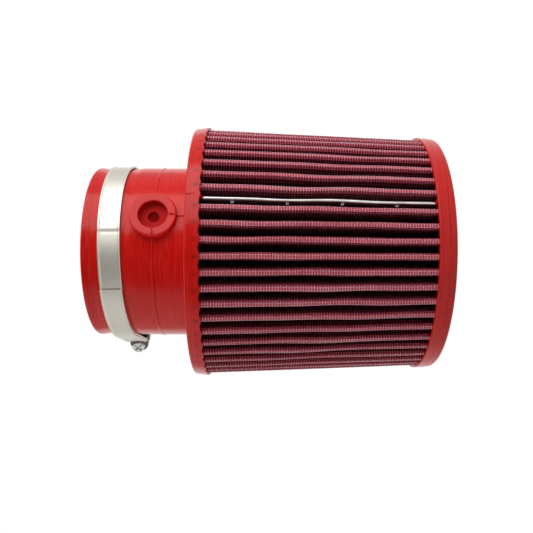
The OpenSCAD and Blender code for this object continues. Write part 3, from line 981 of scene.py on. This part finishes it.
def add_neck():
    """Neck with its mouth, seat and parting ring, the flange, and the port's boss and hole."""
    back = FLANGE_R - FLANGE_DRAFT
    top, low = MOUTH_Z - BEAD_W, MOUTH_Z - BEAD_W - SEAT_W
    profile = rounded([
        (BORE_R, FLANGE_Z, RIM_ROUND), (SCALLOP_RING, FLANGE_Z, 0), (FLANGE_R, FLANGE_Z, 0.35),
        (FLANGE_R, FLANGE_Z + FLANGE_LIP_H, 0.4), (back, FLANGE_TOP - FLANGE_BEVEL, 0.4),
        (back - FLANGE_BEVEL, FLANGE_TOP, 0.35), (NECK_R, FLANGE_TOP, 1.0),
        (NECK_R, PORT_Z - PARTING_W / 2, 0.2), (NECK_R + PARTING_H, PORT_Z - PARTING_W / 6, 0.15),
        (NECK_R + PARTING_H, PORT_Z + PARTING_W / 6, 0.15), (NECK_R, PORT_Z + PARTING_W / 2, 0.2),
        (NECK_R, low - SEAT_SLOPE, 1.5), (SEAT_R, low, 1.5), (SEAT_R, top, 1.0),
        (NECK_R - 0.02, RIM_LINE + RIM_LINE_HALF, 0.1), (NECK_R - 0.22, RIM_LINE, 0.1),
        (NECK_R - 0.05, RIM_LINE - RIM_LINE_HALF, 0.1), (NECK_R, MOUTH_Z, RIM_ROUND),
        (BORE_R, MOUTH_Z, 1.1),
    ])
    points, faces = grid(revolve(profile), close_u=True, close_v=True)
    neck = add_mesh("moulded_neck", [(scallops(points), faces)])
    finish_solid(neck)
    boss_base = math.sqrt(((BORE_R + NECK_R) / 2) ** 2 - BOSS_R ** 2)
    boss = rounded([
        (0, boss_base, 0), (BOSS_R, boss_base, 0), (BOSS_R, BOSS_FACE, 1.0),
        (0, BOSS_FACE, 0),
    ], steps=8)
    floor, bevel = BOSS_FACE - RECESS_DEPTH, RECESS_BEVEL
    hole = rounded([
        (0, BORE_R - 6, 0), (PORT_R, BORE_R - 6, 0), (PORT_R, floor, 0),
        (RECESS_R - bevel, floor, 0.5), (RECESS_R, floor + bevel, 0.5),
        (RECESS_R, BOSS_FACE - bevel, 0.5),
        (RECESS_R + bevel, BOSS_FACE + 0.1, 0), (RECESS_R + bevel, BOSS_FACE + 1, 0),
        (0, BOSS_FACE + 1, 0),
    ], steps=4)
    for name, outline, step in (("boss", boss, "UNION"), ("hole", hole, "DIFFERENCE")):
        ring = revolve(outline, 96)[..., [2, 0, 1]]
        placed = turned(ring, PORT_TURN - 90)
        placed[..., 2] += PORT_Z
        tool = add_mesh(name, [grid(placed, close_u=True, close_v=True)])
        finish_solid(tool)
        cut(neck, tool, step)
    finish_solid(neck, merge=0.0005, sharp=38)
    dress(neck, RED)
    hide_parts("neck_flange")


def bead(points, radii, sides=8):
    """A closed rounded bead along points, as thick as radii say."""
    points = np.asarray(points, float)
    way = np.gradient(points, axis=0)
    way /= np.linalg.norm(way, axis=1)[:, None]
    out = points * [1, 1, 0]
    out /= np.linalg.norm(out, axis=1)[:, None]
    side = np.cross(way, out)
    side /= np.linalg.norm(side, axis=1)[:, None]
    rise = np.cross(side, way)
    a = 2 * math.pi * np.arange(sides) / sides
    ring = np.cos(a)[None, :, None] * side[:, None] + np.sin(a)[None, :, None] * rise[:, None]
    skin, faces = grid(points[:, None] + np.asarray(radii)[:, None, None] * ring, close_v=True)
    n = len(points)
    fans = [(0, i, i + 1) for i in range(1, sides - 1)]
    caps = [[sides * row + k for k in fan] for row in (0, n - 1) for fan in fans]
    return (skin, faces), (skin, np.array(caps))


# Bends and lumps of a line of flash
BENDS = 10
BEND_H = 0.12
LUMPS = 13
LUMP = 0.45


def flash_line(start, end, count, radius, ends=0.05):
    """Bead of flash between two places (turn in degrees, radius, height), a little uneven."""
    t = np.linspace(0, 1, count)
    place = np.asarray(start) + (np.asarray(end) - np.asarray(start)) * t[:, None]
    place[:, 2] += BEND_H * np.interp(t * (BENDS - 1), np.arange(BENDS), rng.uniform(-1, 1, BENDS))
    a = np.radians(place[:, 0] - 90)
    points = np.stack([place[:, 1] * np.cos(a), place[:, 1] * np.sin(a), place[:, 2]], axis=1)
    lumps = np.interp(t * (LUMPS - 1), np.arange(LUMPS), rng.uniform(-1, 1, LUMPS))
    thick = radius * (1 + LUMP * lumps)
    thick *= np.clip(np.minimum(t, 1 - t) / ends, 0.1, 1)
    return bead(points, thick)


def add_flash():
    """Thin lines and drops of rubber that the mould's halves leave."""
    gap = 0.6
    edge = math.degrees(math.asin(BOSS_R / BOSS_FACE))
    rim = math.degrees(math.asin((RECESS_R + gap) / BOSS_FACE))
    tilt = math.cos(math.radians((edge + rim) / 2))
    face = BOSS_FACE / tilt - 0.06
    front = BOSS_FACE - 0.05
    side = FLANGE_R - FLANGE_DRAFT / 2
    top = STRIP_R - 0.4
    low = STRIP_R * pack_scale(CAP_H) - 0.4
    turn, seam = PORT_TURN, SEAM_TURN
    # Two places, points between them, thickness, and at times the share of thin ends
    lines = [
        ((turn - rim, face, PORT_Z), (turn - edge, face + 0.25, PORT_Z), 30, 0.55),
        ((turn - edge - 0.3, NECK_R + 1.4, PORT_Z), (turn - edge - 4, NECK_R + 0.3, PORT_Z),
         20, 0.35),
        ((turn, front, PORT_Z - RECESS_R - gap), (turn, front, PORT_Z - BOSS_R), 30, 0.6),
        ((turn, NECK_R, PORT_Z - BOSS_R + 0.3), (turn, NECK_R, FLANGE_TOP + 3), 24, 0.5),
        ((turn, NECK_R + 0.1, FLANGE_TOP + 3.9), (turn, NECK_R + 0.1, FLANGE_TOP + 2.2),
         12, 0.8, 0.5),
        ((seam + 0.4, side, FLANGE_Z + 0.3), (seam + 0.4, side - 0.3, FLANGE_TOP - 0.5), 30, 0.3),
        ((seam - 0.2, top, FLANGE_Z + 0.8), (seam - 0.3, top, FLANGE_Z - 1.6), 14, 1.3, 0.45),
        ((seam - 0.2, low, CAP_H - 0.6), (seam - 0.3, low, CAP_H + 1.5), 14, 1.25, 0.45),
    ]
    parts = []
    for line in lines:
        parts += flash_line(*line)
    obj = add_mesh("mould_flash", parts)
    finish_solid(obj)
    dress(obj, RED)


# Hose clamp, drawn level with its housing at +Y, then put in its place


def clamp_place():
    """Place and lean of the clamp on the neck."""
    return (
        Matrix.Translation((0, 0, BAND_Z))
        @ Matrix.Rotation(math.radians(LEAN_Y), 4, "Y")
        @ Matrix.Rotation(math.radians(LEAN_X), 4, "X")
        @ Matrix.Rotation(math.radians(CLAMP_TURN - 180), 4, "Z")
    )


def placed(points):
    place = np.array(clamp_place())
    return points @ place[:3, :3].T + place[:3, 3]


HALF_L = HOUSING_L / 2
BEND_Y = FLAT_Y - BAND_BEND
TAIL_BEND = BAND_BEND + NEST


def leave(bend):
    """Angle from the housing at which the band leaves its round stretch."""
    return math.atan2(HALF_L, BEND_Y) + math.acos((BAND_IN - bend) / math.hypot(HALF_L, BEND_Y))


def band_path():
    """Inner line of the band and its outward normals, from the fixed end to the tail."""
    first, last, quarter = leave(BAND_BEND), leave(TAIL_BEND), math.pi / 2
    full = 2 * math.pi
    stretches = [
        ((-HALF_L, BEND_Y), BAND_BEND, quarter, quarter + first, 12),
        ((0, 0), BAND_IN, quarter + first, quarter + full - last, 320),
        ((HALF_L, BEND_Y), TAIL_BEND, quarter + full - last, quarter + full, 12),
        ((-HALF_L, BEND_Y), TAIL_BEND, quarter + full, quarter + full + first, 12),
        ((0, 0), BAND_IN + NEST, quarter + full + first,
         quarter + full + math.radians(TAIL_TURN), 36),
    ]
    points, normals = [np.array([[HALF_L - SADDLE_END, FLAT_Y]])], [np.array([[0.0, 1.0]])]
    for centre, r, a, b, steps in stretches:
        points.append(bow(centre, r, a, b, steps))
        normals.append(bow((0, 0), 1, a, b, steps))
    points, normals = np.concatenate(points), np.concatenate(normals)
    off = np.unwrap(np.arctan2(points[:, 1], points[:, 0]))
    off = np.degrees(off) - (JOGGLE_TURN + 90 - CLAMP_TURN)
    lift = JOGGLE_STEP / (1 + np.exp(-off / 0.5)) - JOGGLE_STEP / 2
    lift = lift - JOGGLE_CREASE * np.exp(-(off / 0.8) ** 2)
    lift *= np.exp(-(off / 9) ** 2)
    return points + normals * lift[:, None], normals


def add_band():
    """Band of the clamp with its raised edges, from one end round to the other."""
    path, normal = band_path()
    w = BAND_W / 2
    section = rounded([
        (0, -w, 0.12), (BAND_T + EDGE_H, -w, 0.3), (BAND_T + EDGE_H, -w + EDGE_W, 0.3),
        (BAND_T, -w + EDGE_W + 0.35, 0.3), (BAND_T, w - EDGE_W - 0.35, 0.3),
        (BAND_T + EDGE_H, w - EDGE_W, 0.3), (BAND_T + EDGE_H, w, 0.3), (0, w, 0.12),
    ], steps=3)
    h, z = section[:, 0], section[:, 1]
    flat = path[:, None] + normal[:, None] * h[None, :, None]
    height = np.broadcast_to(z[None, :, None], flat.shape[:2] + (1,))
    points = np.concatenate([flat, height], axis=2)
    ring, faces = grid(placed(points), close_v=True)
    n = len(section)
    last = len(path) - 1
    obj = add_mesh("rolled_band", [(ring, faces)])
    work = bmesh.new()
    work.from_mesh(obj.data)
    work.verts.ensure_lookup_table()
    for start in (0, last * n):
        work.faces.new([work.verts[start + k] for k in range(n)])
    bmesh.ops.recalc_face_normals(work, faces=work.faces)
    work.to_mesh(obj.data)
    work.free()
    obj.data.set_sharp_from_angle(angle=math.radians(50))
    dress(obj, BAND)
    obj.data.materials.append(SHADE_DARK_STEEL)
    # The inner face and the edge beside the flange get the dark steel: painted shade of the gap
    # under the band
    side = np.arange(len(obj.data.polygons)) % n
    tone_and_shade = (side == n - 1) | (side <= 4)
    tone_and_shade[last * n:] = False
    obj.data.polygons.foreach_set("material_index", tone_and_shade.astype(np.int32))
    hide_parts("clamp_band")


def add_thread():
    """Thread of the worm, wound round its core between the housing's end walls."""
    reach = HOUSING_L - 2 * HOUSING_T - THREAD_GAP
    turns = reach / THREAD_PITCH
    steps = int(turns * THREAD_STEPS)
    t = np.linspace(0, turns * 2 * math.pi, steps)
    ends = np.clip(np.minimum(t, t[-1] - t) / 1.2, 0.05, 1)
    x = -reach / 2 + t / (2 * math.pi) * THREAD_PITCH
    section = [(-0.75, -0.3), (-0.35, 1.0), (0.35, 1.0), (0.75, -0.3)]
    rows = []
    for along, high in section:
        r = WORM_R - THREAD_SINK + (THREAD_SINK + THREAD_H * high) * ends
        row = [x + along * ends, WORM_Y + r * np.cos(t), r * np.sin(t)]
        rows.append(np.stack(row, axis=1))
    obj = add_mesh("worm_thread", [grid(placed(np.stack(rows, axis=1)), close_v=True)], "screw")
    finish_solid(obj, sharp=30)
    dress(obj, BRIGHT_STEEL)


def soften(node, width, material):
    """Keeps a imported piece, with small bevels on its edges and its own material."""
    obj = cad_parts[node]
    bevel = obj.modifiers.new("soft_edges", "BEVEL")
    bevel.width = width * MM
    bevel.segments = 2
    bevel.limit_method = "ANGLE"
    bevel.angle_limit = math.radians(38)
    dress(obj, material)


add_neck()
add_cap()
add_flash()
add_gauze()
add_outer_mesh()
add_inner_mesh()
add_seam()
add_staples()
add_band()
add_thread()
# Housing and saddle get the dark steel: painted shade
soften("clamp_housing", 0.12, SHADE_DARK_STEEL)
soften("clamp_saddle", 0.12, SHADE_DARK_STEEL)
soften("clamp_screw", 0.1, BRIGHT_STEEL)


# Floor, light and camera

# Levels of the studio's walls
TABLE = 0.45
DIM = 0.05
LOW = 0.74
SIDE = 0.6
# Mirrored rays that leave past this share of +Y see white
WHITE_FROM = 0.7

# Floor: half its width, its grey, and its glow for the camera and in mirrored rays
FLOOR_HALF = 3.0
FLOOR_GREY = 0.3
FLOOR_SEEN = 0.88
FLOOR_MIRRORED = 0.75

# Lamps: places and sizes in metres, powers in watts
LAMP_AIM = (0, 0, 0.1)
KEY_ANGLE = math.radians(53)
KEY_FAR = 0.8
KEY_HIGH = 0.4
KEY_SIZE = (0.82, 1.3)
KEY_POWER = 8.6
BOUNCE_PLACE = (-0.75, -0.1, 0.3)
BOUNCE_SIZE = (0.6, 0.6)
BOUNCE_POWER = 1.6


def add_floor():
    """White floor that keeps the object's shadow, left out of the model."""
    size = FLOOR_HALF
    mesh = bpy.data.meshes.new("floor")
    mesh.from_pydata([(-size, -size, 0), (size, -size, 0), (size, size, 0), (-size, size, 0)], [],
                     [(0, 1, 2, 3)])
    obj = bpy.data.objects.new("floor", mesh)
    bpy.context.collection.objects.link(obj)
    s = Shader("floor", (FLOOR_GREY, FLOOR_GREY, FLOOR_GREY), 0.9)
    seen = s.add("ShaderNodeLightPath").outputs
    glow = s.add("ShaderNodeEmission")
    both = s.add("ShaderNodeAddShader")
    direct = s.times(seen["Is Camera Ray"], FLOOR_SEEN)
    lift = s.math("MAXIMUM", direct, s.times(s.mirrored(), FLOOR_MIRRORED))
    s.link(lift, glow.inputs["Strength"])
    s.link(s.surface.outputs[0], both.inputs[0])
    s.link(glow.outputs[0], both.inputs[1])
    s.link(both.outputs[0], s.tree.nodes["Material Output"].inputs["Surface"])
    mesh.materials.append(s.material)


def add_world():
    """Studio seen round the filter's axis: dim beside the camera and pale on both sides.

    Mirrored rays see white behind the filter, and so does the camera everywhere. Angles are in
    degrees from the camera's side towards +X."""
    world = bpy.data.worlds.new("studio")
    world.use_nodes = True
    bpy.context.scene.world = world
    n = Nodes(world.node_tree)
    x, y, _ = n.parts(n.add("ShaderNodeTexCoord").outputs["Generated"])
    turn = n.math("ARCTAN2", x, n.times(y, -1.0))
    share = n.math("ADD", n.math("DIVIDE", turn, 2 * math.pi), 0.5)
    stops = ((-130, TABLE), (-105, LOW), (-60, LOW), (-42, DIM), (24, DIM), (80, SIDE),
             (115, SIDE), (140, TABLE))
    sides = n.ramp(share, *[(angle / 360 + 0.5, level) for angle, level in stops])
    behind = n.times(n.mirrored(), n.math("GREATER_THAN", y, WHITE_FROM))
    seen = n.add("ShaderNodeLightPath").outputs["Is Camera Ray"]
    level = n.math("MAXIMUM", n.math("MAXIMUM", sides, behind), seen)
    ground = n.tree.nodes["Background"]
    n.link(level, ground.inputs["Strength"])
    ground.inputs["Color"].default_value = (1, 1, 1, 1)


def add_lamp(name, place, size, power, mirrored=True):
    data = bpy.data.lights.new(name, "AREA")
    data.shape = "RECTANGLE"
    data.size, data.size_y = size
    data.energy = power
    obj = bpy.data.objects.new(name, data)
    obj.location = place
    aim = Vector(LAMP_AIM) - Vector(place)
    obj.rotation_euler = aim.to_track_quat("-Z", "Y").to_euler()
    obj.visible_glossy = mirrored
    bpy.context.collection.objects.link(obj)


# Camera fitted to the photograph, with its place in metres
FOCAL_PX = 640
IMAGE_PX = 533
EYE = (-0.0086, -0.387, 0.0959)
ROLL = 0.0057


def add_camera():
    data = bpy.data.cameras.new("camera")
    data.sensor_width = 36
    data.lens = FOCAL_PX / IMAGE_PX * data.sensor_width
    obj = bpy.data.objects.new("camera", data)
    right = Vector((ROLL, 0, -1)).normalized()
    up = Vector((1, 0, ROLL)).normalized()
    back = Vector((0, -1, 0))
    turn = Matrix((right, up, back)).transposed().to_4x4()
    obj.matrix_world = Matrix.Translation(EYE) @ turn
    bpy.context.collection.objects.link(obj)
    bpy.context.scene.camera = obj


add_floor()
add_world()
key_place = (KEY_FAR * math.sin(KEY_ANGLE), -KEY_FAR * math.cos(KEY_ANGLE), KEY_HIGH)
add_lamp("key", key_place, KEY_SIZE, KEY_POWER)
add_lamp("bounce", BOUNCE_PLACE, BOUNCE_SIZE, BOUNCE_POWER, mirrored=False)
add_camera()
bpy.context.scene.view_settings.view_transform = "Standard"
